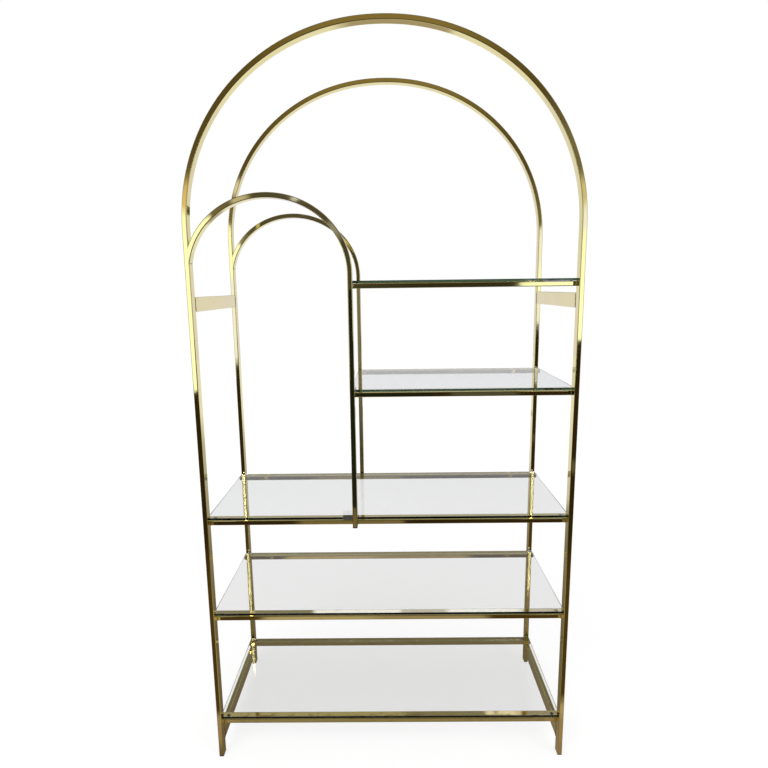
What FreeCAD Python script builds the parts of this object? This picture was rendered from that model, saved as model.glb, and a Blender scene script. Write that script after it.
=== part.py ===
"""Arched etagere of polished brass tube with five loose glass shelves.

Millimetres, +Z up, front towards -Y, origin on the floor under the middle.
Two identical upright frames, front and rear, are each bent from one flat tube
into leg, arch and leg. A smaller arch with one long post is coped onto the
left leg of each frame. Rails, welded to the facing sides of the two frames,
carry the glass, and four flat spreaders tie the frames together.
"""
import FreeCAD, Part
import math
import os
from collections import namedtuple

os.makedirs("parts", exist_ok=True)
Vector = FreeCAD.Vector

# ---- Overall sizes ----
OVERALL_WIDTH = 990.6
OVERALL_HEIGHT = 1955.8
OVERALL_DEPTH = 425.45

# ---- Tube sections ----
TUBE_FACE = 12.7          # width of a leg, post or arch as seen from the front
TUBE_DEPTH = 25.4         # front to back, also the depth of a rail
RAIL_HEIGHT = 12.7
SPREADER_FACE = 12.7
SPREADER_HEIGHT = 38.1
TUBE_WALL = 1.2
CORNER_EASE = 1.0         # flat that eases the outside corners of every tube

# ---- Arches: each is a half circle pressed a little flatter over full shoulders ----
LARGE_FLATTENING = 19.8       # half the arch's width less its rise
LARGE_SHOULDER_OFFSET = 69.3  # from the arch's middle to the centre of each shoulder
SMALL_FLATTENING = 12.0
SMALL_SHOULDER_OFFSET = 43.7
SMALL_ARCH_HEIGHT = 1566.1
SMALL_ARCH_OVERRUN = 2.5      # its curve is set out this far past the leg's outer face
POST_FROM_LEFT = 402.15       # left face of the post from the etagere's left side

# ---- Heights of the undersides of rails and spreaders ----
BOTTOM_RAIL_Z = 86.7
LOWER_RAIL_Z = 414.5
MIDDLE_RAIL_Z = 699.3
UPPER_RAIL_Z = 1051.8
TOP_RAIL_Z = 1332.6
LOW_SPREADER_Z = 39.6
HIGH_SPREADER_Z = 1278.2

# ---- Glass and its pads ----
GLASS_THICKNESS = 6.35
GLASS_FRONT_CLEARANCE = 1.5
GLASS_REAR_CLEARANCE = 4.85
GLASS_END_INSET = 1.5
GLASS_EDGE_EASE = 1.0
PAD_DIAMETER = 10.0
PAD_THICKNESS = 0.8
PAD_FROM_GLASS_END = 21.0

# ---- Plugs and caps ----
RAIL_CAP_THICKNESS = 3.0
PLUG_FLANGE = 3.0
PLUG_STEM = 16.0
PLUG_CLEARANCE = 0.15
PLUG_RIB = 0.8            # height of the moulded ribs on a plug's hollow stem
PLUG_STEM_WALL = 1.5

# ---- Places that follow from the sizes above ----
LEFT = -OVERALL_WIDTH / 2
RIGHT = OVERALL_WIDTH / 2
FRONT = -OVERALL_DEPTH / 2
REAR = OVERALL_DEPTH / 2
BETWEEN_FRONT = FRONT + TUBE_DEPTH
BETWEEN_REAR = REAR - TUBE_DEPTH
LEG_BOTTOM = PLUG_FLANGE
POST_LEFT = LEFT + POST_FROM_LEFT
POST_RIGHT = POST_LEFT + TUBE_FACE
POST_BOTTOM = MIDDLE_RAIL_Z + PLUG_FLANGE

Arch = namedtuple("Arch", "centre spring offset shoulder drop crown")


def three_centred_arch(left, right, top, flattening, offset):
    """An arch of two shoulder arcs and a crown arc, from its outer width and height.

    offset is from the middle to each shoulder's centre, at the springing; drop is
    from the springing down to the crown's centre; shoulder and crown are the radii.
    """
    half_width = (right - left) / 2
    lift = offset - flattening
    drop = (offset ** 2 - lift ** 2) / (2 * lift)
    rise = half_width - flattening
    return Arch((left + right) / 2, top - rise, offset, half_width - offset, drop, rise + drop)


LARGE_ARCH = three_centred_arch(LEFT, RIGHT, OVERALL_HEIGHT, LARGE_FLATTENING, LARGE_SHOULDER_OFFSET)
SMALL_ARCH = three_centred_arch(LEFT - SMALL_ARCH_OVERRUN, POST_RIGHT, SMALL_ARCH_HEIGHT,
                                SMALL_FLATTENING, SMALL_SHOULDER_OFFSET)

Shelf = namedtuple("Shelf", "name rail_z left")
SHELVES = [
    Shelf("bottom", BOTTOM_RAIL_Z, LEFT),
    Shelf("lower", LOWER_RAIL_Z, LEFT),
    Shelf("middle", MIDDLE_RAIL_Z, LEFT),
    Shelf("upper", UPPER_RAIL_Z, POST_LEFT),
    Shelf("top", TOP_RAIL_Z, POST_LEFT),
]


def save(shape, node):
    """Write one node's STEP file."""
    shape.exportStep("parts/" + node + ".step")


# ---- Straight pieces ----

def block(low, high):
    """A plain box from its lowest to its highest corner."""
    size = high - low
    return Part.makeBox(size.x, size.y, size.z, low)


def eased_bar(low, high, along):
    """A box whose four edges along one axis are eased."""
    bar = block(low, high)
    long_edges = [edge for edge in bar.Edges
                  if abs(abs(edge.tangentAt(edge.FirstParameter)[along]) - 1) < 1e-6]
    return bar.makeChamfer(CORNER_EASE, long_edges)


def straight_tube(low, high, along):
    """A rectangular tube, open at both ends, along axis 0, 1 or 2."""
    inset = Vector(TUBE_WALL, TUBE_WALL, TUBE_WALL)
    inset[along] = 0
    return eased_bar(low, high, along).cut(block(low + inset, high - inset))


# ---- Bent tubes ----

def arch_points(arch, inset):
    """Ends, middles and joins of an arch's three arcs, set in by inset, left to right."""
    shoulder = arch.shoulder - inset
    join = math.atan2(arch.drop, arch.offset)

    def on_shoulder(side, angle):
        x = arch.centre + side * (arch.offset + shoulder * math.cos(angle))
        return Vector(x, 0, arch.spring + shoulder * math.sin(angle))

    left = [on_shoulder(-1, angle) for angle in (0, join / 2, join)]
    right = [on_shoulder(1, angle) for angle in (join, join / 2, 0)]
    top = Vector(arch.centre, 0, arch.spring - arch.drop + arch.crown - inset)
    return left + [top] + right


def arch_line(arch, inset, left_foot, right_foot):
    """Edges of one bent line: up the left foot, over the arch and down the right foot."""
    p = arch_points(arch, inset)
    edges = [Part.Arc(p[0], p[1], p[2]).toShape(),
             Part.Arc(p[2], p[3], p[4]).toShape(),
             Part.Arc(p[4], p[5], p[6]).toShape()]
    start, end = p[0], p[6]
    if left_foot < arch.spring:
        start = Vector(p[0].x, 0, left_foot)
        edges.insert(0, Part.makeLine(start, p[0]))
    if right_foot < arch.spring:
        end = Vector(p[6].x, 0, right_foot)
        edges.append(Part.makeLine(p[6], end))
    return edges, start, end


def bent_bar(arch, outset, depth_inset, left_foot, right_foot):
    """A solid bar bent over an arch, its walls set in from the tube's faces all round."""
    outer, outer_start, outer_end = arch_line(arch, outset, left_foot, right_foot)
    inner, inner_start, inner_end = arch_line(arch, TUBE_FACE - outset, left_foot, right_foot)
    ends = [Part.makeLine(outer_end, inner_end), Part.makeLine(inner_start, outer_start)]
    outline = Part.Face(Part.Wire(Part.__sortEdges__(outer + inner + ends)))
    outline.translate(Vector(0, depth_inset, 0))
    return outline.extrude(Vector(0, TUBE_DEPTH - 2 * depth_inset, 0))


def lies_along_bend(edge):
    """True for the long edges of a bent bar, which run in its front or rear face."""
    box = edge.BoundBox
    return box.YLength < 1e-6 and edge.Length > 2 * TUBE_FACE


def bent_tube(arch, left_foot, right_foot):
    """A hollow flat tube bent over an arch, with eased outside corners."""
    bar = bent_bar(arch, 0.0, 0.0, left_foot, right_foot)
    bar = bar.makeChamfer(CORNER_EASE, [edge for edge in bar.Edges if lies_along_bend(edge)])
    return bar.cut(bent_bar(arch, TUBE_WALL, TUBE_WALL, left_foot, right_foot))


def coped_inside(arch, tube):
    """Cut a tube's foot to lie flat against the inner face of a larger arch's leg."""
    inner, start, end = arch_line(arch, TUBE_FACE, 0.0, 0.0)
    inside = Part.Face(Part.Wire(Part.__sortEdges__(inner + [Part.makeLine(end, start)])))
    return tube.common(inside.extrude(Vector(0, TUBE_DEPTH, 0)))


def upright_frames():
    """Front and rear frames: the outer bent tube and the small arch with its post."""
    outer = bent_tube(LARGE_ARCH, LEG_BOTTOM, LEG_BOTTOM)
    inner = coped_inside(LARGE_ARCH, bent_tube(SMALL_ARCH, SMALL_ARCH.spring, POST_BOTTOM))
    for place, y in (("front", FRONT), ("rear", BETWEEN_REAR)):
        for name, tube in (("arch_tube", outer), ("inner_arch_tube", inner)):
            moved = tube.copy()
            moved.translate(Vector(0, y, 0))
            save(moved, place + "_" + name)


# ---- Plugs in the open tube ends ----

def tube_end_plug(x_left, y_front, tube_end):
    """A moulded plug: a flange under the tube and a hollow ribbed stem inside it."""
    low = Vector(x_left, y_front, tube_end - PLUG_FLANGE)
    high = Vector(x_left + TUBE_FACE, y_front + TUBE_DEPTH, tube_end)
    flange = eased_bar(low, high, 2)
    fit = TUBE_WALL + PLUG_CLEARANCE
    core = fit + PLUG_RIB
    hollow = core + PLUG_STEM_WALL
    top = tube_end + PLUG_STEM
    stem = block(low + Vector(core, core, PLUG_FLANGE), Vector(high.x - core, high.y - core, top))
    rib_gap = PLUG_STEM / 4
    for level in (1, 2, 3):
        rib_z = tube_end + level * rib_gap - PLUG_RIB / 2
        rib = block(Vector(low.x + fit, low.y + fit, rib_z),
                    Vector(high.x - fit, high.y - fit, rib_z + PLUG_RIB))
        stem = stem.fuse(rib)
    bore = block(low + Vector(hollow, hollow, PLUG_FLANGE), Vector(high.x - hollow, high.y - hollow, top))
    return flange.fuse(stem).removeSplitter().cut(bore)


def plugs():
    """Four feet under the legs and one cap under each post."""
    for place, y in (("front", FRONT), ("rear", BETWEEN_REAR)):
        save(tube_end_plug(LEFT, y, LEG_BOTTOM), place + "_left_foot")
        save(tube_end_plug(RIGHT - TUBE_FACE, y, LEG_BOTTOM), place + "_right_foot")
        save(tube_end_plug(POST_LEFT, y, POST_BOTTOM), place + "_post_cap")


# ---- Rails ----

def rail_positions():
    """Name, left end, front face and underside of each of the ten rails."""
    for shelf in SHELVES:
        yield shelf.name + "_front_rail", shelf.left, BETWEEN_FRONT, shelf.rail_z
        yield shelf.name + "_rear_rail", shelf.left, BETWEEN_REAR - TUBE_DEPTH, shelf.rail_z


def rails():
    """Ten rails and the flat plates let into their ends, flush with the tube."""
    caps = []
    for node, left, front, underside in rail_positions():
        low = Vector(left, front, underside)
        high = Vector(RIGHT, front + TUBE_DEPTH, underside + RAIL_HEIGHT)
        save(straight_tube(low, high, 0), node)
        wall = Vector(0, TUBE_WALL, TUBE_WALL)
        for start in (left, RIGHT - RAIL_CAP_THICKNESS):
            end = start + RAIL_CAP_THICKNESS
            caps.append(block(Vector(start, low.y, low.z) + wall, Vector(end, high.y, high.z) - wall))
    save(Part.makeCompound(caps), "rail_end_caps")


# ---- Spreaders ----

def spreaders():
    """Flat tubes from front leg to rear leg, near the feet and under the top shelf."""
    for height, z in (("low", LOW_SPREADER_Z), ("high", HIGH_SPREADER_Z)):
        for side, x in (("left", LEFT), ("right", RIGHT - SPREADER_FACE)):
            low = Vector(x, BETWEEN_FRONT, z)
            high = Vector(x + SPREADER_FACE, BETWEEN_REAR, z + SPREADER_HEIGHT)
            save(straight_tube(low, high, 1), height + "_" + side + "_spreader")


# ---- Glass shelves on their pads ----

def glass_plate(low, high):
    """A plate with ground edges: its four long top and bottom arrises are eased."""
    plate = block(low, high)
    arrises = [edge for edge in plate.Edges if edge.BoundBox.ZLength < 1e-6]
    return plate.makeChamfer(GLASS_EDGE_EASE, arrises)


def pads_under(left, right, rail_top):
    """Four clear pads near the corners, centred on the rails."""
    discs = []
    for x in (left + PAD_FROM_GLASS_END, right - PAD_FROM_GLASS_END):
        for y in (BETWEEN_FRONT + TUBE_DEPTH / 2, BETWEEN_REAR - TUBE_DEPTH / 2):
            discs.append(Part.makeCylinder(PAD_DIAMETER / 2, PAD_THICKNESS, Vector(x, y, rail_top)))
    return Part.makeCompound(discs)


def shelves():
    """Five glass plates that lie loose on pads on the rails."""
    glass_front = BETWEEN_FRONT + GLASS_FRONT_CLEARANCE
    glass_rear = BETWEEN_REAR - GLASS_REAR_CLEARANCE
    for shelf in SHELVES:
        left = shelf.left + GLASS_END_INSET
        right = RIGHT - GLASS_END_INSET
        rail_top = shelf.rail_z + RAIL_HEIGHT
        underside = rail_top + PAD_THICKNESS
        plate = glass_plate(Vector(left, glass_front, underside),
                            Vector(right, glass_rear, underside + GLASS_THICKNESS))
        save(plate, shelf.name + "_glass_shelf")
        save(pads_under(left, right, rail_top), shelf.name + "_shelf_pads")


upright_frames()
plugs()
rails()
spreaders()
shelves()
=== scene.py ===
"""Arched etagere of polished brass tube with five loose glass shelves, dressed for a studio view.

Metres, +Z up, front towards -Y. The brass tubes are drawn along their lines with
rounded corners, the glass has polished edges and the pads are domed.
"""
import math
from collections import namedtuple

import bmesh
import bpy
from mathutils import Matrix, Vector


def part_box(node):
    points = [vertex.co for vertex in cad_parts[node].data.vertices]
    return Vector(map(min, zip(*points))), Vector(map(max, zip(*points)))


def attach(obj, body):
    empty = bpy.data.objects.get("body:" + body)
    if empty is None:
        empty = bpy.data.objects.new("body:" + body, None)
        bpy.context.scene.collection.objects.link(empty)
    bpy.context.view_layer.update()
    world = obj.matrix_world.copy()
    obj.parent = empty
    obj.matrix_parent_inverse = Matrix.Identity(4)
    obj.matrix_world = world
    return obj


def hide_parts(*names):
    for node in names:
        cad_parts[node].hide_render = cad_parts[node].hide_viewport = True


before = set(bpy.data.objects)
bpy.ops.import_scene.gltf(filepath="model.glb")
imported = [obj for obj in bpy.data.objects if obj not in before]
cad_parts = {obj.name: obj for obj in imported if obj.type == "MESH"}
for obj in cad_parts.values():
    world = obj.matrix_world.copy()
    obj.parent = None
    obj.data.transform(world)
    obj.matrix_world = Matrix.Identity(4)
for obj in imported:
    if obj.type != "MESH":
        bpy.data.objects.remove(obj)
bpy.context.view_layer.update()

MM = 0.001

# ---- Brass tube ----
TUBE_FACE = 12.7 * MM
TUBE_DEPTH = 25.4 * MM
CORNER_RADIUS = 1.7 * MM
CORNER_STEPS = 5
FLAT_MARGIN = 0.5 * MM         # support points this far beside each rounded corner keep the flats flat
BEND_STEP = 2                  # degrees between the rings of a bend
BEND_MARGIN = 4 * MM           # a ring this far past each bend keeps the straight run straight

# ---- Rail ends and braze ----
TUBE_WALL = 1.2 * MM
CAP_THICKNESS = 3.0 * MM
CAP_PROUD = 0.4 * MM           # how far a rail's end plate stands out of its tube
CAP_CORNER = 0.6 * MM
BEAD_RADIUS = 1.3 * MM
BEAD_SIDES = 10
BEAD_STEP = 1.5 * MM
BEAD_SEED = 7
BEAD_LEAST = 0.72              # shares of its radius between which a bead ripples
BEAD_MOST = 1.12
BEAD_TIP = 0.45                # a bead's radius at its ends, as a share of the rest

# ---- Arches: half circles pressed a little flatter; a fullness over 2 fills the shoulders ----
LARGE_FLATTENING = 19.8 * MM
LARGE_FULLNESS = 2.06
SMALL_FLATTENING = 12.0 * MM
SMALL_FULLNESS = 2.0
SMALL_ARCH_OVERRUN = 2.5 * MM

# ---- Glass and pads ----
GLASS_ARRIS = 1.3 * MM
GLASS_ARRIS_STEPS = 4
GLASS_FLAT_AREA = 0.001        # square metres; a larger face is one of a plate's flats
PAD_DIAMETER = 10 * MM
PAD_SIDES = 32
PAD_DOME_STEPS = 5
PAD_DROOP = 0.45               # how far a pad's rim lies below its top, as a share of its thickness

SHARP_ANGLE = math.radians(40)  # edges that turn further than this stay hard

SHELVES = ("bottom", "lower", "middle", "upper", "top")

# ---- Room around the studio, seen in polished faces only ----
ROOM_FRONT = -6.0
ROOM_SIDE = 7.0
ROOM_HEIGHT = 6.0
SIDE_WALL_X = 3.6
SIDE_WALL_FRONT = -4.0
SIDE_WALL_REAR = 1.6
SIDE_WALL_HEIGHT = 2.6
STAND_Y = -1.75
STAND_SIDE = 0.25
STAND_FOOT = 0.12
STAND_TOP = 1.33
SLIP_Y = -0.14
SLIP_MARGIN = 0.032            # how far the slip reaches past the post on its left
SLIP_FOOT = 0.6
SLIP_TOP = 1.34
FLOOR_REACH = 9.0
WHITE = (1, 1, 1, 1)

# ---- Camera ----
LENS = 26.13
SENSOR_WIDTH = 36
EYE = (0.00842, -1.61869, 1.33427)
EYE_TURN = 0.0094
EYE_TIP = math.pi / 2 - 0.1712
EYE_ROLL = -0.0122


# ---- Wiring nodes ----

class Value:
    """A node's output that takes part in ordinary arithmetic."""

    def __init__(self, nodes, node, output):
        self.nodes = nodes
        self.node = node
        self.socket = node.outputs[output] if node.outputs else None

    def __getitem__(self, output):
        return Value(self.nodes, self.node, output)

    def math(self, operation, *others):
        values = dict(enumerate((self,) + others))
        return self.nodes.add("ShaderNodeMath", {"operation": operation}, values)

    def __add__(self, other):
        return self.math("ADD", other)

    __radd__ = __add__

    def __mul__(self, other):
        return self.math("MULTIPLY", other)

    __rmul__ = __mul__

    def __sub__(self, other):
        return self.math("SUBTRACT", other)

    def __rsub__(self, other):
        return self.nodes.add("ShaderNodeMath", {"operation": "SUBTRACT"}, {0: other, 1: self})

    def __truediv__(self, other):
        return self.math("DIVIDE", other)

    def __gt__(self, other):
        return self.math("GREATER_THAN", other)

    def __lt__(self, other):
        return self.math("LESS_THAN", other)

    def ramp(self, start, end, low=0.0, high=1.0):
        """Smoothly from low to high while this value goes from start to end."""
        return self.nodes.add("ShaderNodeMapRange", {"interpolation_type": "SMOOTHSTEP"},
                              {"Value": self, "From Min": start, "From Max": end,
                               "To Min": low, "To Max": high})

    def band(self, rise_start, rise_end, fall_start, fall_end):
        """1 between a stretch over which it rises and one over which it falls, else 0."""
        return self.ramp(rise_start, rise_end) * self.ramp(fall_end, fall_start)

    def around(self, centre, inner, outer):
        """1 within inner of a centre, fading to 0 at outer."""
        return (self - centre).math("ABSOLUTE").ramp(outer, inner)

    def length_with(self, other):
        """How long the flat vector of this value and another is."""
        return (self * self + other * other).math("SQRT")


class Nodes:
    """A node tree that is being wired."""

    def __init__(self, tree):
        self.tree = tree
        tree.nodes.clear()

    def add(self, kind, settings=None, sockets=None, output=0):
        """A node of one kind, its settings first and then its sockets' values or links."""
        node = self.tree.nodes.new(kind)
        for name, value in (settings or {}).items():
            setattr(node, name, value)
        for key, value in (sockets or {}).items():
            if isinstance(value, Value):
                self.tree.links.new(value.socket, node.inputs[key])
            else:
                node.inputs[key].default_value = value
        return Value(self, node, output)

    def vector(self, x, y, z):
        return self.add("ShaderNodeCombineXYZ", {}, {"X": x, "Y": y, "Z": z})

    def split(self, vector):
        return self.add("ShaderNodeSeparateXYZ", {}, {"Vector": vector})

    def mix(self, factor, first, second):
        """A colour between two colours."""
        return self.add("ShaderNodeMix", {"data_type": "RGBA"}, {0: factor, 6: first, 7: second}, 2)

    def noise(self, place, scale, detail=2.0, roughness=0.5, distortion=0.0):
        return self.add("ShaderNodeTexNoise", {}, {"Vector": place, "Scale": scale, "Detail": detail,
                                                   "Roughness": roughness, "Distortion": distortion})

    def stretched(self, place, x, y, z):
        return self.add("ShaderNodeMapping", {}, {"Vector": place, "Scale": (x, y, z)})

    def bump(self, height, distance, normal=None):
        """A normal from a height of 0 to 1 that stands for a depth in metres."""
        sockets = {"Height": height, "Distance": distance, "Strength": 1.0}
        if normal:
            sockets["Normal"] = normal
        return self.add("ShaderNodeBump", {}, sockets)

    def surface(self, sockets, filling=None):
        """End a material with one principled surface and, if given, what fills the piece."""
        ends = {"Surface": self.add("ShaderNodeBsdfPrincipled", {}, sockets)}
        if filling:
            ends["Volume"] = filling
        self.add("ShaderNodeOutputMaterial", {}, ends)


def new_material(name):
    material = bpy.data.materials.new(name)
    material.use_nodes = True
    return material, Nodes(material.node_tree)


# ---- Finishes ----

def brass_finish():
    """Mirror-polished brass: faint waves, hand-polishing lines, haze and wear specks low down."""
    material, n = new_material("polished_brass")
    place = n.add("ShaderNodeTexCoord", {}, {}, "Object")
    height = n.split(place)["Z"]
    tube = n.add("ShaderNodeAttribute", {"attribute_name": "tube_way"}, {}, "Vector")
    low_down = height.ramp(0.75, 0.02)
    cloud = n.noise(place, 9.0, 3.0, 0.55)
    patch = n.noise(place, 38.0, 4.0, 0.6, 0.4)
    haze = patch.ramp(0.52, 0.74) * (low_down * 0.55 + 0.16)
    grain = n.noise(place, 520.0, 2.0, 0.6)
    specks = grain.ramp(0.70, 0.76) * (low_down * 0.8 + 0.08) * patch.ramp(0.42, 0.6)
    lines = n.noise(n.stretched(tube, 14.0, 2600.0, 2600.0), 1.0, 1.0)
    colour = n.mix(cloud.ramp(0.35, 0.7), (0.89, 0.80, 0.35, 1), (0.87, 0.775, 0.32, 1))
    colour = n.mix(haze, colour, (0.70, 0.56, 0.24, 1))
    colour = n.mix(specks, colour, (0.20, 0.125, 0.045, 1))
    roughness = 0.03 + cloud.ramp(0.3, 0.8) * 0.03 + haze * 0.14 + specks * 0.4
    waves = n.bump(n.noise(place, 16.0, 1.0), 0.00022)
    drawn = n.bump(lines, 0.0000004, waves)
    pits = n.bump(1 - specks, 0.000004, drawn)
    n.surface({"Base Color": colour, "Metallic": 1.0, "Roughness": roughness, "Normal": pits})
    return material


def braze_finish():
    """Filed and polished braze, a little redder and duller than the tube, pitted in places."""
    material, n = new_material("polished_braze")
    place = n.add("ShaderNodeTexCoord", {}, {}, "Object")
    lumps = n.noise(place, 620.0, 3.0, 0.6)
    pits = n.noise(place, 1500.0, 2.0).ramp(0.60, 0.68)
    colour = n.mix(lumps.ramp(0.4, 0.65), (0.62, 0.49, 0.21, 1), (0.42, 0.30, 0.13, 1))
    colour = n.mix(pits, colour, (0.10, 0.06, 0.025, 1))
    roughness = lumps * 0.2 + pits * 0.3 + 0.08
    n.surface({"Base Color": colour, "Metallic": 1.0, "Roughness": roughness,
               "Normal": n.bump(lumps, 0.00018)})
    return material


def glass_finish():
    """Clear float glass, grey-green in its depth, with faint wipe marks and rolled waves."""
    material, n = new_material("float_glass")
    place = n.add("ShaderNodeTexCoord", {}, {}, "Object")
    rolled = n.noise(n.stretched(place, 1.0, 3.0, 1.0), 5.0, 1.0)
    wiped = n.noise(n.stretched(place, 3.0, 1.0, 1.0), 22.0, 4.0, 0.65, 0.8)
    roughness = wiped.ramp(0.5, 0.8) * 0.02
    depth = n.add("ShaderNodeVolumeAbsorption", {}, {"Color": (0.30, 0.46, 0.30, 1), "Density": 10.0})
    n.surface({"Base Color": (0.975, 0.965, 0.972, 1), "Roughness": roughness, "IOR": 1.52,
               "Transmission Weight": 1.0, "Normal": n.bump(rolled, 0.00006)}, depth)
    return material


def pad_finish():
    """Clear soft plastic with a little haze and a few dust specks."""
    material, n = new_material("clear_pad")
    place = n.add("ShaderNodeTexCoord", {}, {}, "Object")
    dust = n.noise(place, 900.0, 2.0).ramp(0.64, 0.72)
    colour = n.mix(dust, (0.93, 0.94, 0.90, 1), (0.62, 0.61, 0.55, 1))
    n.surface({"Base Color": colour, "Roughness": dust * 0.3 + 0.12, "IOR": 1.46,
               "Transmission Weight": 0.9, "Normal": n.bump(dust, 0.00003)})
    return material


def plug_finish():
    """Black moulded plastic with a fine grain, scuffed at its lowest edges."""
    material, n = new_material("moulded_black_plastic")
    place = n.add("ShaderNodeTexCoord", {}, {}, "Object")
    height = n.split(place)["Z"]
    grain = n.noise(place, 1400.0, 2.0)
    scuffs = n.noise(place, 260.0, 3.0, 0.7).ramp(0.55, 0.7) * height.ramp(0.003, 0.0004)
    colour = n.mix(grain.ramp(0.3, 0.7), (0.012, 0.012, 0.013, 1), (0.020, 0.019, 0.019, 1))
    colour = n.mix(scuffs, colour, (0.075, 0.070, 0.064, 1))
    roughness = 0.42 + grain * 0.1 + scuffs * 0.2
    n.surface({"Base Color": colour, "Roughness": roughness, "Normal": n.bump(grain, 0.00002)})
    return material


BRASS = brass_finish()
BRAZE = braze_finish()
GLASS = glass_finish()
PAD = pad_finish()
PLUG = plug_finish()


# ---- Growing pieces from geometry trees ----

def geometry_tree(name, inputs):
    """A geometry tree with named inputs and one geometry each way."""
    tree = bpy.data.node_groups.new(name, "GeometryNodeTree")
    tree.interface.new_socket("Geometry", in_out="INPUT", socket_type="NodeSocketGeometry")
    for label, kind in inputs:
        tree.interface.new_socket(label, in_out="INPUT", socket_type="NodeSocket" + kind)
    tree.interface.new_socket("Geometry", in_out="OUTPUT", socket_type="NodeSocketGeometry")
    return tree


def finish_tree(n, geometry, material):
    """End a tree: instances made real, cap edges left sharp and the finish set."""
    real = n.add("GeometryNodeRealizeInstances", {}, {"Geometry": geometry})
    smooth = n.add("GeometryNodeSetShadeSmooth", {"domain": "FACE"}, {"Geometry": real})
    bend = n.add("GeometryNodeInputMeshEdgeAngle", {}, {}, "Unsigned Angle")
    edges = n.add("GeometryNodeSetShadeSmooth", {"domain": "EDGE"},
                  {"Geometry": smooth, "Selection": bend > SHARP_ANGLE, "Shade Smooth": False})
    dressed = n.add("GeometryNodeSetMaterial", {}, {"Geometry": edges, "Material": material})
    n.add("NodeGroupOutput", {}, {"Geometry": dressed})


def tube_tree():
    """Draw a flat tube with rounded corners along a line; its section follows four inputs."""
    tree = geometry_tree("flat_tube_along_a_line", (
        ("Across", "Float"), ("Depth", "Float"), ("Corner Radius", "Float"), ("Flat Margin", "Float"),
        ("Corner Steps", "Int"), ("Depth Way", "Vector"), ("Finish", "Material")))
    n = Nodes(tree)
    given = n.add("NodeGroupInput")
    radius = given["Corner Radius"]
    steps = given["Corner Steps"]
    points = steps + 3
    index = n.add("GeometryNodeInputIndex")
    corner = ((index + 0.5) / points).math("FLOOR")
    reach = (index - corner * points - 1) / steps
    turn = reach.math("MAXIMUM", 0.0).math("MINIMUM", 1.0)
    past = (reach - turn) * steps * given["Flat Margin"]
    angle = (corner + turn) * (math.pi / 2)
    middle = (corner + 0.5) * (math.pi / 2)
    sine = angle.math("SINE")
    cosine = angle.math("COSINE")
    x = middle.math("COSINE").math("SIGN") * (given["Depth"] / 2 - radius) + cosine * radius - sine * past
    y = middle.math("SINE").math("SIGN") * (given["Across"] / 2 - radius) + sine * radius + cosine * past
    ring = n.add("GeometryNodeCurvePrimitiveCircle", {"mode": "RADIUS"}, {"Resolution": points * 4})
    section = n.add("GeometryNodeSetPosition", {}, {"Geometry": ring, "Position": n.vector(x, y, 0.0)})
    spot = n.add("GeometryNodeInputPosition")
    section = n.add("GeometryNodeStoreNamedAttribute", {"data_type": "FLOAT_VECTOR", "domain": "POINT"},
                    {"Geometry": section, "Name": "section_spot", "Value": spot})
    length = n.add("GeometryNodeSplineParameter", {}, {}, "Length")
    line = n.add("GeometryNodeStoreNamedAttribute", {"data_type": "FLOAT", "domain": "POINT"},
                 {"Geometry": given["Geometry"], "Name": "length_spot", "Value": length})
    line = n.add("GeometryNodeSetCurveNormal", {"mode": "FREE"},
                 {"Curve": line, "Normal": given["Depth Way"]})
    tube = n.add("GeometryNodeCurveToMesh", {}, {"Curve": line, "Profile Curve": section, "Fill Caps": True})
    at_length = n.add("GeometryNodeInputNamedAttribute", {"data_type": "FLOAT"}, {"Name": "length_spot"})
    at_section = n.split(n.add("GeometryNodeInputNamedAttribute", {"data_type": "FLOAT_VECTOR"},
                               {"Name": "section_spot"}))
    way = n.vector(at_length, at_section["X"], at_section["Y"])
    tube = n.add("GeometryNodeStoreNamedAttribute", {"data_type": "FLOAT_VECTOR", "domain": "POINT"},
                 {"Geometry": tube, "Name": "tube_way", "Value": way})
    finish_tree(n, tube, given["Finish"])
    return tree


def bead_tree():
    """Lay a thin rippled bead of braze along each line."""
    tree = geometry_tree("braze_beads_along_lines", (
        ("Radius", "Float"), ("Sides", "Int"), ("Step", "Float"), ("Seed", "Int"), ("Finish", "Material")))
    n = Nodes(tree)
    given = n.add("NodeGroupInput")
    line = n.add("GeometryNodeResampleCurve", {"mode": "LENGTH"},
                 {"Curve": given["Geometry"], "Length": given["Step"]})
    along = n.add("GeometryNodeSplineParameter", {}, {}, "Factor")
    ripple = n.add("FunctionNodeRandomValue", {"data_type": "FLOAT"},
                   {"Min": BEAD_LEAST, "Max": BEAD_MOST, "Seed": given["Seed"]}, 1)
    taper = (along - 0.5).math("ABSOLUTE").ramp(0.5, 0.36, BEAD_TIP, 1.0)
    round_wire = n.add("GeometryNodeCurvePrimitiveCircle", {"mode": "RADIUS"},
                       {"Resolution": given["Sides"], "Radius": given["Radius"]})
    bead = n.add("GeometryNodeCurveToMesh", {}, {"Curve": line, "Profile Curve": round_wire,
                                                "Scale": ripple * taper, "Fill Caps": True})
    finish_tree(n, bead, given["Finish"])
    return tree


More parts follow.
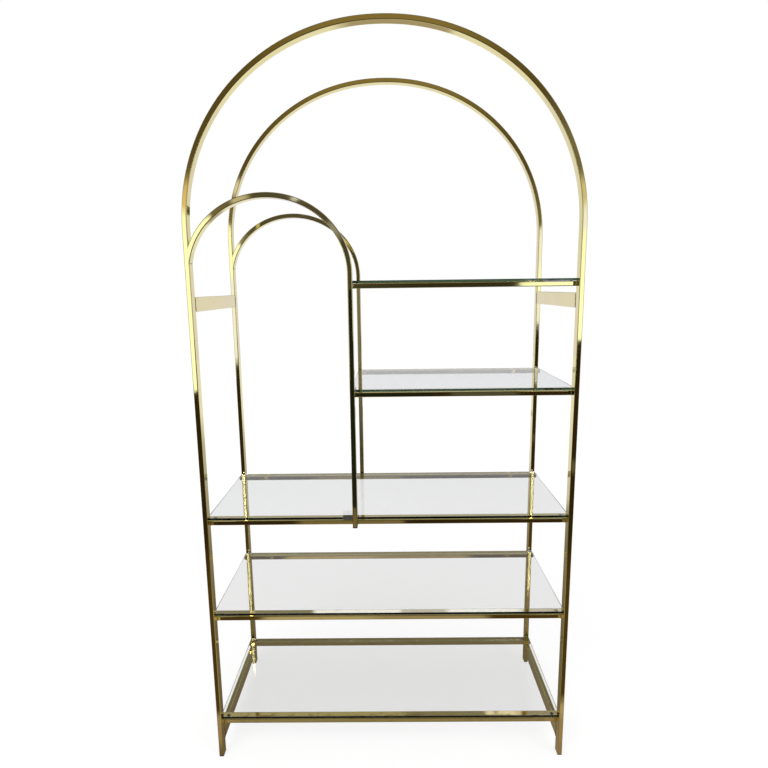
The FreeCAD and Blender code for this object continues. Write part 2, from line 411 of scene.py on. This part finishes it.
def pads_tree():
    """Set a domed clear pad on every point."""
    tree = geometry_tree("domed_pads_on_points", (
        ("Diameter", "Float"), ("Thickness", "Float"), ("Dome Steps", "Int"), ("Finish", "Material")))
    n = Nodes(tree)
    given = n.add("NodeGroupInput")
    disc = n.add("GeometryNodeMeshCylinder", {"fill_type": "TRIANGLE_FAN"},
                 {"Vertices": PAD_SIDES, "Fill Segments": given["Dome Steps"], "Side Segments": 2,
                  "Radius": given["Diameter"] / 2, "Depth": given["Thickness"]})
    spot = n.split(n.add("GeometryNodeInputPosition"))
    outward = spot["X"].length_with(spot["Y"]) / (given["Diameter"] / 2)
    droop = outward.ramp(0.35, 1.02) * (spot["Z"] > 0.0) * given["Thickness"] * -PAD_DROOP
    domed = n.add("GeometryNodeSetPosition", {}, {"Geometry": disc, "Offset": n.vector(0.0, 0.0, droop)})
    pads = n.add("GeometryNodeInstanceOnPoints", {}, {"Points": given["Geometry"], "Instance": domed})
    finish_tree(n, pads, given["Finish"])
    return tree


def link(name, data):
    thing = bpy.data.objects.new(name, data)
    bpy.context.scene.collection.objects.link(thing)
    return thing


def lines_of(lines):
    """A curve of straight runs through each line's points, for a tree to work on."""
    curve = bpy.data.curves.new("lines", "CURVE")
    curve.dimensions = "3D"
    for points in lines:
        spline = curve.splines.new("POLY")
        spline.points.add(len(points) - 1)
        for knot, point in zip(spline.points, points):
            knot.co = (point[0], point[1], point[2], 1.0)
    return link("lines", curve)


def points_of(points):
    mesh = bpy.data.meshes.new("points")
    mesh.from_pydata([tuple(point) for point in points], [], [])
    return link("points", mesh)


def grown(name, source, tree, sizes):
    """Run a tree on a source object and keep the result as one plain mesh piece."""
    modifier = source.modifiers.new("grow", "NODES")
    modifier.node_group = tree
    for item in tree.interface.items_tree:
        if item.name in sizes:
            modifier[item.identifier] = sizes[item.name]
    graph = bpy.context.evaluated_depsgraph_get()
    mesh = bpy.data.meshes.new_from_object(source.evaluated_get(graph))
    bpy.data.objects.remove(source)
    mesh.name = name
    return link(name, mesh)


TUBE_TREE = tube_tree()
BEAD_TREE = bead_tree()
PADS_TREE = pads_tree()


def place_piece(piece, body, slot, *nodes):
    """Carry a finished piece on its body, in place of its CAD nodes; its slot is not used."""
    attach(piece, body)
    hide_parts(*nodes)


def tubes_along(name, lines, across, depth, depth_way, corner=CORNER_RADIUS):
    sizes = {"Across": across, "Depth": depth, "Corner Radius": corner, "Flat Margin": FLAT_MARGIN,
             "Corner Steps": CORNER_STEPS, "Depth Way": depth_way, "Finish": BRASS}
    return grown(name, lines_of(lines), TUBE_TREE, sizes)


def tube_along(name, points, across, depth, depth_way):
    return tubes_along(name, [points], across, depth, depth_way)


# ---- Bent tubes ----

Arch = namedtuple("Arch", "centre spring half_width rise fullness")


def flattened_arch(left, right, top, flattening, fullness):
    """A flattened half circle, from its outer width and height."""
    half_width = (right - left) / 2
    rise = half_width - flattening
    return Arch((left + right) / 2, top - rise, half_width, rise, fullness)


def arch_point(arch, degrees, y):
    """The middle of the tube at an angle round the arch, 0 at its left springing."""
    angle = math.radians(degrees)
    across = abs(math.cos(angle)) / (arch.half_width - TUBE_FACE / 2)
    up = abs(math.sin(angle)) / (arch.rise - TUBE_FACE / 2)
    reach = (across ** arch.fullness + up ** arch.fullness) ** (-1 / arch.fullness)
    return Vector((arch.centre - reach * math.cos(angle), y, arch.spring + reach * math.sin(angle)))


def arch_height(arch, x, inset):
    """How high the arch is at x, at a depth into the tube from its outer side."""
    across = abs(x - arch.centre) / (arch.half_width - inset)
    return arch.spring + (arch.rise - inset) * (1 - across ** arch.fullness) ** (1 / arch.fullness)


def arch_line(arch, y, left_foot, right_foot):
    """Up the left leg, over the arch and down the right leg."""
    bend = [arch_point(arch, degrees, y) for degrees in range(0, 181, BEND_STEP)]
    margin = Vector((0, 0, BEND_MARGIN))
    left = [bend[0] - margin]
    right = [bend[-1] - margin]
    left.insert(0, Vector((bend[0].x, y, left_foot)))
    right.append(Vector((bend[-1].x, y, right_foot)))
    return left + bend + right


def cut_flat(piece, point, keep_way):
    """Cut a piece off flat at a plane and close the cut."""
    cut = bmesh.new()
    cut.from_mesh(piece.data)
    every = cut.verts[:] + cut.edges[:] + cut.faces[:]
    made = bmesh.ops.bisect_plane(cut, geom=every, plane_co=point, plane_no=keep_way, clear_inner=True)
    rim = [part for part in made["geom_cut"] if isinstance(part, bmesh.types.BMEdge)]
    bmesh.ops.holes_fill(cut, edges=rim)
    for edge in rim:
        edge.smooth = False
    cut.to_mesh(piece.data)
    cut.free()


def small_arch(place):
    """The small arch, whose left side runs a little over the leg before it is coped."""
    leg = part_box(place + "_arch_tube")[0]
    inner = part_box(place + "_inner_arch_tube")[1]
    return flattened_arch(leg.x - SMALL_ARCH_OVERRUN, inner.x, inner.z, SMALL_FLATTENING, SMALL_FULLNESS)


def small_post(place):
    """The left and right faces of the small arch's post."""
    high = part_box(place + "_inner_arch_tube")[1]
    return high.x - TUBE_FACE, high.x


def upright_frames():
    """Front and rear frames: the outer bent tube and the small arch, ground flush where it meets the leg."""
    for place in ("front", "rear"):
        low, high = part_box(place + "_arch_tube")
        y = (low.y + high.y) / 2
        large = flattened_arch(low.x, high.x, high.z, LARGE_FLATTENING, LARGE_FULLNESS)
        outer = tube_along(place + "_arch", arch_line(large, y, low.z, low.z),
                           TUBE_FACE, TUBE_DEPTH, (0, 1, 0))
        place_piece(outer, "root", "brass", place + "_arch_tube")
        small = small_arch(place)
        foot = small.spring - 2 * BEND_MARGIN
        post_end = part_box(place + "_inner_arch_tube")[0].z
        inner = tube_along(place + "_inner_arch", arch_line(small, y, foot, post_end),
                           TUBE_FACE, TUBE_DEPTH, (0, 1, 0))
        cut_flat(inner, (low.x + TUBE_FACE - CORNER_RADIUS, 0, 0), (1, 0, 0))
        place_piece(inner, "root", "brass", place + "_inner_arch_tube")


# ---- Rails and spreaders ----

def straight_tube(name, node, along, short=0.0):
    """A tube on a CAD node's middle line, along X (0) or Y (1), short of ends that a plate closes."""
    low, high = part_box(node)
    middle = (low + high) / 2
    start = middle.copy()
    end = middle.copy()
    start[along] = low[along] + short
    end[along] = high[along] - short
    way = (end - start).normalized() * BEND_MARGIN
    size = high - low
    if along == 0:
        depth, depth_way = size.y, (0, 1, 0)
    else:
        depth, depth_way = size.x, (1, 0, 0)
    tube = tube_along(name, [start, start + way, end - way, end], size.z, depth, depth_way)
    place_piece(tube, "root", "brass", node)


def rails_and_spreaders():
    for shelf in SHELVES:
        for place in ("front", "rear"):
            rail = shelf + "_" + place + "_rail"
            straight_tube(rail + "_tube", rail, 0, CAP_PROUD)
    for height in ("low", "high"):
        for side in ("left", "right"):
            straight_tube(height + "_" + side + "_spreader_tube", height + "_" + side + "_spreader", 1)


def rail_end_caps():
    """A plate in each end of every rail, standing a hair proud of the tube."""
    rails = [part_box(shelf + "_" + place + "_rail") for shelf in SHELVES for place in ("front", "rear")]
    lines = []
    for low, high in rails:
        middle = (low + high) / 2
        for end, inward in ((low.x, CAP_THICKNESS), (high.x, -CAP_THICKNESS)):
            lines.append([Vector((end, middle.y, middle.z)), Vector((end + inward, middle.y, middle.z))])
    low, high = rails[-1]          # every rail has the same section
    across = high.z - low.z - 2 * TUBE_WALL
    depth = high.y - low.y - 2 * TUBE_WALL
    caps = tubes_along("rail_end_plates", lines, across, depth, (0, 1, 0), CAP_CORNER)
    place_piece(caps, "root", "brass", "rail_end_caps")


def upright_line(x, y, bottom, top):
    return [Vector((x, y, bottom)), Vector((x, y, top))]


def rail_beads(place, left, right, back):
    """Beads where a frame's rails meet its legs and its post."""
    post_left, post_right = small_post(place)
    lines = []
    for shelf in SHELVES:
        low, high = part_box(shelf + "_" + place + "_rail")
        crossings = [right, left if low.x < left else post_right]
        if shelf == "middle":
            crossings += [post_left, post_right]
        lines += [upright_line(x, back, low.z, high.z) for x in crossings]
    return lines


def spreader_beads(side, outer, inner, back):
    """Beads on both sides of the spreaders of one leg."""
    lines = []
    for height in ("low", "high"):
        low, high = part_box(height + "_" + side + "_spreader")
        lines += [upright_line(x, back, low.z, high.z) for x in (outer, inner)]
    return lines


def arch_beads(place, leg_face, front, rear):
    """Beads across the throat and the crotch where a small arch meets its leg."""
    arch = small_arch(place)
    throat = arch_height(arch, leg_face, TUBE_FACE)
    crotch = arch_height(arch, leg_face, 0)
    return [[Vector((leg_face, y, z)) for y in (front, rear)] for z in (throat, crotch)]


def braze_beads():
    """Beads of braze in the corners where rails, spreaders and small arches meet the uprights."""
    lines = []
    for place in ("front", "rear"):
        low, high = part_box(place + "_arch_tube")
        back = high.y if place == "front" else low.y
        left = low.x + TUBE_FACE
        right = high.x - TUBE_FACE
        lines += rail_beads(place, left, right, back)
        lines += spreader_beads("left", low.x, left, back)
        lines += spreader_beads("right", high.x, right, back)
        lines += arch_beads(place, left, low.y + CORNER_RADIUS, high.y - CORNER_RADIUS)
    sizes = {"Radius": BEAD_RADIUS, "Sides": BEAD_SIDES, "Step": BEAD_STEP, "Seed": BEAD_SEED,
             "Finish": BRAZE}
    beads = grown("braze_beads", lines_of(lines), BEAD_TREE, sizes)
    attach(beads, "root")


# ---- Glass shelves and their pads ----

def glass_plate(name, node, body):
    """A plate of glass with rounded, polished arrises."""
    low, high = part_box(node)
    size = high - low
    plate = bmesh.new()
    bmesh.ops.create_cube(plate, size=1.0)
    bmesh.ops.scale(plate, vec=size, verts=plate.verts)
    bmesh.ops.translate(plate, vec=(low + high) / 2, verts=plate.verts)
    bmesh.ops.bevel(plate, geom=plate.edges[:], offset=GLASS_ARRIS, segments=GLASS_ARRIS_STEPS,
                    profile=0.5, affect="EDGES")
    for face in plate.faces:
        face.smooth = True
        if face.calc_area() > GLASS_FLAT_AREA:
            for edge in face.edges:
                edge.smooth = False
    mesh = bpy.data.meshes.new(name)
    plate.to_mesh(mesh)
    plate.free()
    mesh.materials.append(GLASS)
    piece = link(name, mesh)
    place_piece(piece, body, "glass", node)


def pad_places(node):
    """The middle of each of a group's four pads, from its box and a pad's own size."""
    low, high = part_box(node)
    radius = PAD_DIAMETER / 2
    z = (low.z + high.z) / 2
    return [Vector((x, y, z)) for x in (low.x + radius, high.x - radius)
            for y in (low.y + radius, high.y - radius)]


def shelves():
    for shelf in SHELVES:
        glass_plate(shelf + "_glass", shelf + "_glass_shelf", shelf + "_glass")
        node = shelf + "_shelf_pads"
        low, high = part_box(node)
        sizes = {"Diameter": PAD_DIAMETER, "Thickness": high.z - low.z, "Dome Steps": PAD_DOME_STEPS,
                 "Finish": PAD}
        pads = grown(shelf + "_pads", points_of(pad_places(node)), PADS_TREE, sizes)
        place_piece(pads, "root", "pad", node)


def dress(nodes, material):
    """Give CAD nodes that stay in sight their own finish."""
    for node in nodes:
        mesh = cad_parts[node].data
        mesh.materials.clear()
        mesh.materials.append(material)


def plugs():
    feet = [place + "_" + side + "_foot" for place in ("front", "rear") for side in ("left", "right")]
    dress(feet + ["front_post_cap", "rear_post_cap"], PLUG)


# ---- Studio ----

def through_glass(path):
    """1 for what is seen through glass alone, with no mirror on the way."""
    return path["Is Transmission Ray"] * (path["Glossy Depth"] < 0.5)


def seen_plainly(path):
    """1 for what the camera sees by itself or through glass."""
    return path["Is Camera Ray"].math("MAXIMUM", through_glass(path))


def card(name, corners, paint):
    """A flat card that only polished surfaces can see."""
    mesh = bpy.data.meshes.new(name)
    mesh.from_pydata(corners, [], [(0, 1, 2, 3)])
    material, n = new_material(name)
    path = n.add("ShaderNodeLightPath")
    colour = paint(n, n.add("ShaderNodeTexCoord", {}, {}, "Object"), path)
    light = n.add("ShaderNodeEmission", {}, {"Color": colour, "Strength": 1.0})
    clear = n.add("ShaderNodeBsdfTransparent")
    shown = n.add("ShaderNodeMixShader", {}, {0: through_glass(path), 1: light, 2: clear})
    n.add("ShaderNodeOutputMaterial", {}, {"Surface": shown})
    mesh.materials.append(material)
    board = link(name, mesh)
    board.visible_camera = False
    board.visible_diffuse = False
    board.visible_shadow = False


def upright_card(name, y, left, right, foot, top, paint):
    """A card across the room at one depth."""
    card(name, [(left, y, foot), (right, y, foot), (right, y, top), (left, y, top)], paint)


def near(u, v, centre_u, centre_v, radius, fade):
    """1 inside a round patch, fading to 0 around it."""
    return (u - centre_u).length_with(v - centre_v).ramp(radius + fade, radius)


def windows(x, z, path):
    """1 in two tall windows, but only where glass mirrors them to the polished tubes behind it."""
    left = x.around(-2.19, 0.04, 0.06) * z.band(2.65, 2.80, 4.85, 5.0)
    right = x.around(2.134, 0.04, 0.06) * z.band(2.65, 2.80, 4.12, 4.28)
    inside = (path["Transmission Depth"] > 0.5) * (path["Transmission Depth"] < 2.5)
    return left.math("MAXIMUM", right) * ((path["Glossy Depth"] > 1.5) * inside)


def wall_colour(n, place, path):
    """A bright wall each side of a dim doorway, under a warm ceiling, with two tall windows."""
    spot = n.split(place)
    x = spot["X"]
    z = spot["Z"]
    aside = x.math("ABSOLUTE")
    doorway = x.band(-2.03, -1.93, 1.62, 1.76)
    dim = n.mix(x.ramp(-1.2, 0.5), (0.085, 0.078, 0.068, 1), (0.034, 0.031, 0.023, 1))
    dim = n.mix(aside.ramp(1.85, 2.1), dim, (0.17, 0.14, 0.10, 1))
    ceiling = n.mix(aside.ramp(0.5, 1.9), (0.24, 0.185, 0.09, 1), (0.10, 0.075, 0.034, 1))
    ceiling = n.mix(x.ramp(1.9, 2.4) * 0.6, ceiling, (0.26, 0.24, 0.20, 1))
    beyond = n.mix(z.ramp(2.55, 3.1), dim, ceiling)
    lights = ((-1.13, 2.45, 0.03, 0.06, (1.00, 1.05, 1.60, 1)),
              (-0.66, 2.06, 0.03, 0.14, (0.36, 0.34, 0.45, 1)),
              (-1.84, 2.46, 0.05, 0.12, (0.58, 0.54, 0.56, 1)),
              (-2.06, 2.72, 0.05, 0.12, (0.80, 0.76, 0.90, 1)))
    for light_x, light_z, radius, fade, light in lights:
        beyond = n.mix(near(x, z, light_x, light_z, radius, fade), beyond, light)
    cornice = n.mix(x.ramp(-1, 1), (0.83, 0.62, 0.40, 1), (0.72, 0.66, 0.54, 1))
    beyond = n.mix(aside.ramp(2.28, 2.40) * z.ramp(2.78, 2.50), beyond, cornice)
    picture_rail = (aside * 0.2 + 1.80).math("MINIMUM", aside * 1.7 - 1.49)
    lit = (1 - doorway) * (picture_rail - z).ramp(-0.08, 0.06)
    cooler = aside.around(2.18, 0.10, 0.20) * (z - x.ramp(-1, 1, 1.50, 1.20)).ramp(0.06, -0.06)
    cooler = cooler.math("MAXIMUM", (z - x * 1.4 + 1.45).ramp(-0.06, 0.06) * x.ramp(2.02, 2.08))
    side = n.mix(cooler, (1.20, 1.29, 1.42, 1), (1.02, 1.07, 1.75, 1))
    whole = n.mix(lit, beyond, side)
    skirting = (x * 0.8 + 2.05).math("MINIMUM", 0.62) + x.around(2.13, 0.12, 0.20) * 0.15
    board = n.mix(x.band(0.7, 0.9, 1.55, 1.7), (0.026, 0.016, 0.007, 1), (0.08, 0.08, 0.075, 1))
    whole = n.mix((skirting - z).ramp(-0.02, 0.02), whole, board)
    return n.mix(windows(x, z, path), whole, (10.0, 10.1, 11.8, 1))


def walnut_colour(n, place, x, y):
    """Walnut boards in front, with a pale runner on them and a light strip by the feet."""
    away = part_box("front_arch_tube")[0].y - y
    grain = n.noise(n.stretched(place, 1.0, 7.0, 1.0), 3.0, 3.0)
    walnut = n.mix(away.ramp(0.9, 1.5), (0.070, 0.041, 0.012, 1), (0.026, 0.016, 0.007, 1))
    walnut = n.mix(grain.ramp(0.35, 0.75) * 0.12, walnut, (0.10, 0.075, 0.04, 1))
    walnut = n.mix(near(x, y, 1.40, -2.8, 0.08, 0.14), walnut, (0.125, 0.10, 0.075, 1))
    walnut = n.mix(x.band(0.7, 0.9, 1.55, 1.7) * away.ramp(4.4, 4.8), walnut, (0.08, 0.08, 0.075, 1))
    rightward = x.ramp(0.35, 0.5)
    by_feet = (away + grain * 0.06 - rightward * 0.06).ramp(0.22, 0.16)
    strip = n.mix(x.math("ABSOLUTE").ramp(0.45, 0.52), (0.26, 0.22, 0.185, 1), (0.33, 0.245, 0.20, 1))
    strip = n.mix(rightward * away.ramp(0.12, 0.17), strip, (0.43, 0.36, 0.30, 1))
    under = n.mix(rightward, (0.15, 0.115, 0.09, 1), (0.27, 0.21, 0.185, 1))
    boards = n.mix(by_feet, walnut, n.mix(away.ramp(0.07, 0.01), strip, under))
    right_edge = away.ramp(0.7, 1.6, 0.40, 0.08)
    runner = x.ramp(-0.56, -0.48) * (x - right_edge).ramp(0.03, -0.03) * away.ramp(0.10, 0.16)
    pile = n.mix(away.ramp(0.9, 1.5), (0.44, 0.38, 0.34, 1), (0.18, 0.145, 0.10, 1))
    pile = n.mix(x.ramp(-0.15, 0.0) * 0.5, pile, (0.20, 0.15, 0.13, 1))
    return n.mix(runner * away.ramp(2.1, 1.6), boards, pile)


def pale_boards_colour(n, x, y):
    """Boards behind that pale with distance, with a rug on them."""
    boards = n.mix(y.ramp(0.5, 2.7), (0.165, 0.138, 0.10, 1), (0.50, 0.49, 0.53, 1))
    boards = n.mix(x.ramp(0.0, -0.15) * y.ramp(1.5, 1.8), boards, (0.80, 0.80, 0.95, 1))
    boards = n.mix(y.ramp(2.8, 4.4), boards, (0.86, 0.86, 0.98, 1))
    rug = x.band(-0.64, -0.50, 0.14, 0.36) * y.band(3.95, 4.15, 4.55, 4.70)
    return n.mix(rug, boards, (0.40, 0.345, 0.32, 1))


def room_floor_colour(n, place):
    """The room's floor, walnut in front of the etagere and pale behind it."""
    spot = n.split(place)
    x = spot["X"]
    y = spot["Y"]
    return n.mix(y.ramp(-0.2, 0.2), walnut_colour(n, place, x, y), pale_boards_colour(n, x, y))


def stand_colour(n, place, path):
    """A dark stand near the camera."""
    return n.mix(n.noise(place, 3.0, 2.0), (0.006, 0.008, 0.006, 1), (0.022, 0.026, 0.020, 1))


def side_wall_colour(n, place, path):
    """Dim side walls that draw the edges of the tubes, with a pale door in the middle of each."""
    spot = n.split(place)
    shade = n.noise(n.stretched(place, 1.0, 1.0, 0.3), 0.9, 2.0)
    low = n.mix(shade.ramp(0.4, 0.62), (0.05, 0.045, 0.03, 1), (0.24, 0.22, 0.17, 1))
    door = n.mix(spot["Z"].ramp(0.1, 1.7), (0.30, 0.26, 0.20, 1), (0.66, 0.63, 0.60, 1))
    low = n.mix(spot["Y"].around(0.0, 0.6, 0.85), low, door)
    return n.mix(spot["Z"].ramp(1.9, 2.3), low, (0.45, 0.43, 0.40, 1))


def slip_colour(n, place, path):
    """A pale slip between the frames that keeps the rear post lighter than the front one."""
    height = n.split(place)["Z"]
    return n.mix(height.ramp(0.62, 1.05), (0.06, 0.055, 0.06, 1), (0.19, 0.175, 0.19, 1))


def cards():
    upright_card("front_wall", ROOM_FRONT, -ROOM_SIDE, ROOM_SIDE, 0, ROOM_HEIGHT, wall_colour)
    upright_card("dark_stand", STAND_Y, -STAND_SIDE, STAND_SIDE, STAND_FOOT, STAND_TOP, stand_colour)
    post_left, post_right = small_post("rear")
    upright_card("pale_slip", SLIP_Y, post_left - SLIP_MARGIN, post_right, SLIP_FOOT, SLIP_TOP, slip_colour)
    for x in (-SIDE_WALL_X, SIDE_WALL_X):
        corners = [(x, SIDE_WALL_FRONT, 0), (x, SIDE_WALL_REAR, 0),
                   (x, SIDE_WALL_REAR, SIDE_WALL_HEIGHT), (x, SIDE_WALL_FRONT, SIDE_WALL_HEIGHT)]
        card("side_wall", corners, side_wall_colour)


def pale_floor():
    """A pale floor that fades into the white around it and keeps the shadow; mirrored, it is the room's."""
    reach = FLOOR_REACH
    corners = [(-reach, -reach, 0), (reach, -reach, 0), (reach, reach, 0), (-reach, reach, 0)]
    mesh = bpy.data.meshes.new("pale_floor")
    mesh.from_pydata(corners, [], [(0, 1, 2, 3)])
    material, n = new_material("pale_floor")
    path = n.add("ShaderNodeLightPath")
    direct = seen_plainly(path)
    place = n.add("ShaderNodeTexCoord", {}, {}, "Object")
    spot = n.split(place)
    far = spot["X"].length_with(spot["Y"]).ramp(0.5, 2.6)
    matt = n.add("ShaderNodeBsdfDiffuse", {}, {"Color": (0.26, 0.26, 0.26, 1)})
    glow = n.add("ShaderNodeEmission", {}, {"Color": WHITE, "Strength": direct * (0.80 + far * 0.05)})
    pale = n.add("ShaderNodeAddShader", {}, {0: matt, 1: glow})
    mirrored = n.add("ShaderNodeEmission", {}, {"Color": room_floor_colour(n, place), "Strength": 1.0})
    by_mirror = path["Is Glossy Ray"] * (1 - direct)
    both = n.add("ShaderNodeMixShader", {}, {0: by_mirror, 1: pale, 2: mirrored})
    n.add("ShaderNodeOutputMaterial", {}, {"Surface": both})
    mesh.materials.append(material)
    floor = link("pale_floor", mesh)


def ceiling_colour(n, room, way, path):
    """The room with what the rails' tops mirror up through the glass: a skylight, then a lit ceiling."""
    high = way["Z"]
    across = way["X"] / way["Y"]
    overhead = (way["Y"] > 0.0) * (path["Transmission Depth"] > 3.5)
    blind = across.band(0.012, 0.024, 0.104, 0.118).math("MAXIMUM", across.ramp(0.254, 0.262))
    skylight = n.mix(blind, (1.38, 1.52, 3.2, 1), (0.80, 0.82, 1.5, 1))
    opening = across.ramp(-0.158, -0.144) * high.band(0.495, 0.508, 0.545, 0.556)
    room = n.mix(opening * overhead, room, skylight)
    lit = n.mix(across.ramp(0.015, 0.03), (0.46, 0.43, 0.40, 1), (0.27, 0.26, 0.28, 1))
    lit = n.mix(across.ramp(0.18, 0.19), lit, (1.12, 1.08, 1.45, 1))
    lit = n.mix(across.ramp(0.254, 0.262), lit, (0.40, 0.38, 0.46, 1))
    return n.mix(high.band(0.606, 0.618, 0.660, 0.672) * overhead, room, lit)


def surroundings():
    """White to the camera and through glass, a pale room to polished metal, plain light for the rest."""
    world = bpy.data.worlds.new("studio")
    bpy.context.scene.world = world
    world.use_nodes = True
    n = Nodes(world.node_tree)
    path = n.add("ShaderNodeLightPath")
    direct = seen_plainly(path)
    way = n.split(n.add("ShaderNodeTexCoord", {}, {}, "Generated"))
    high = way["Z"]
    room = n.mix(high.ramp(0.02, 0.13), (0.80, 0.79, 0.98, 1), (0.74, 0.74, 0.76, 1))
    room = n.mix(high.ramp(0.16, 0.36), room, (0.50, 0.50, 0.52, 1))
    room = n.mix(high.ramp(0.36, 0.62), room, (0.16, 0.155, 0.14, 1))
    room = ceiling_colour(n, room, way, path)
    plain = n.mix(path["Is Glossy Ray"], (0.62, 0.62, 0.62, 1), room)
    colour = n.mix(direct, plain, WHITE)
    sky = n.add("ShaderNodeBackground", {}, {"Color": colour, "Strength": 1.0})
    n.add("ShaderNodeOutputWorld", {}, {"Surface": sky})


def lamp(name, place, aim, size, power):
    light = bpy.data.lights.new(name, "AREA")
    light.shape = "RECTANGLE"
    light.size = size[0]
    light.size_y = size[1]
    light.energy = power
    stand = link(name, light)
    stand.location = place
    stand.rotation_euler = (Vector(aim) - Vector(place)).to_track_quat("-Z", "Y").to_euler()
    stand.visible_glossy = False
    stand.visible_camera = False
    stand.visible_transmission = False


def lamps():
    lamp("key_softbox", (-1.8, -2.4, 3.2), (0, 0, 0.8), (2.0, 2.0), 52)
    lamp("fill_softbox", (2.4, -1.6, 2.4), (0, 0, 0.8), (2.0, 2.0), 26)


def camera():
    """Eye-level camera in front, turned a hair and looking a little down."""
    lens = bpy.data.cameras.new("camera")
    lens.sensor_width = SENSOR_WIDTH
    lens.lens = LENS
    lens.clip_start = 0.05
    eye = link("camera", lens)
    turn = Matrix.Rotation(EYE_TURN, 4, "Z")
    tip = Matrix.Rotation(EYE_TIP, 4, "X")
    roll = Matrix.Rotation(EYE_ROLL, 4, "Z")
    eye.matrix_world = Matrix.Translation(EYE) @ turn @ tip @ roll
    bpy.context.scene.camera = eye


def studio():
    scene = bpy.context.scene
    scene.view_settings.view_transform = "Standard"
    scene.cycles.max_bounces = 20
    scene.cycles.glossy_bounces = 10
    scene.cycles.transmission_bounces = 16
    cards()
    pale_floor()
    surroundings()
    lamps()
    camera()


upright_frames()
rails_and_spreaders()
rail_end_caps()
braze_beads()
shelves()
plugs()
studio()
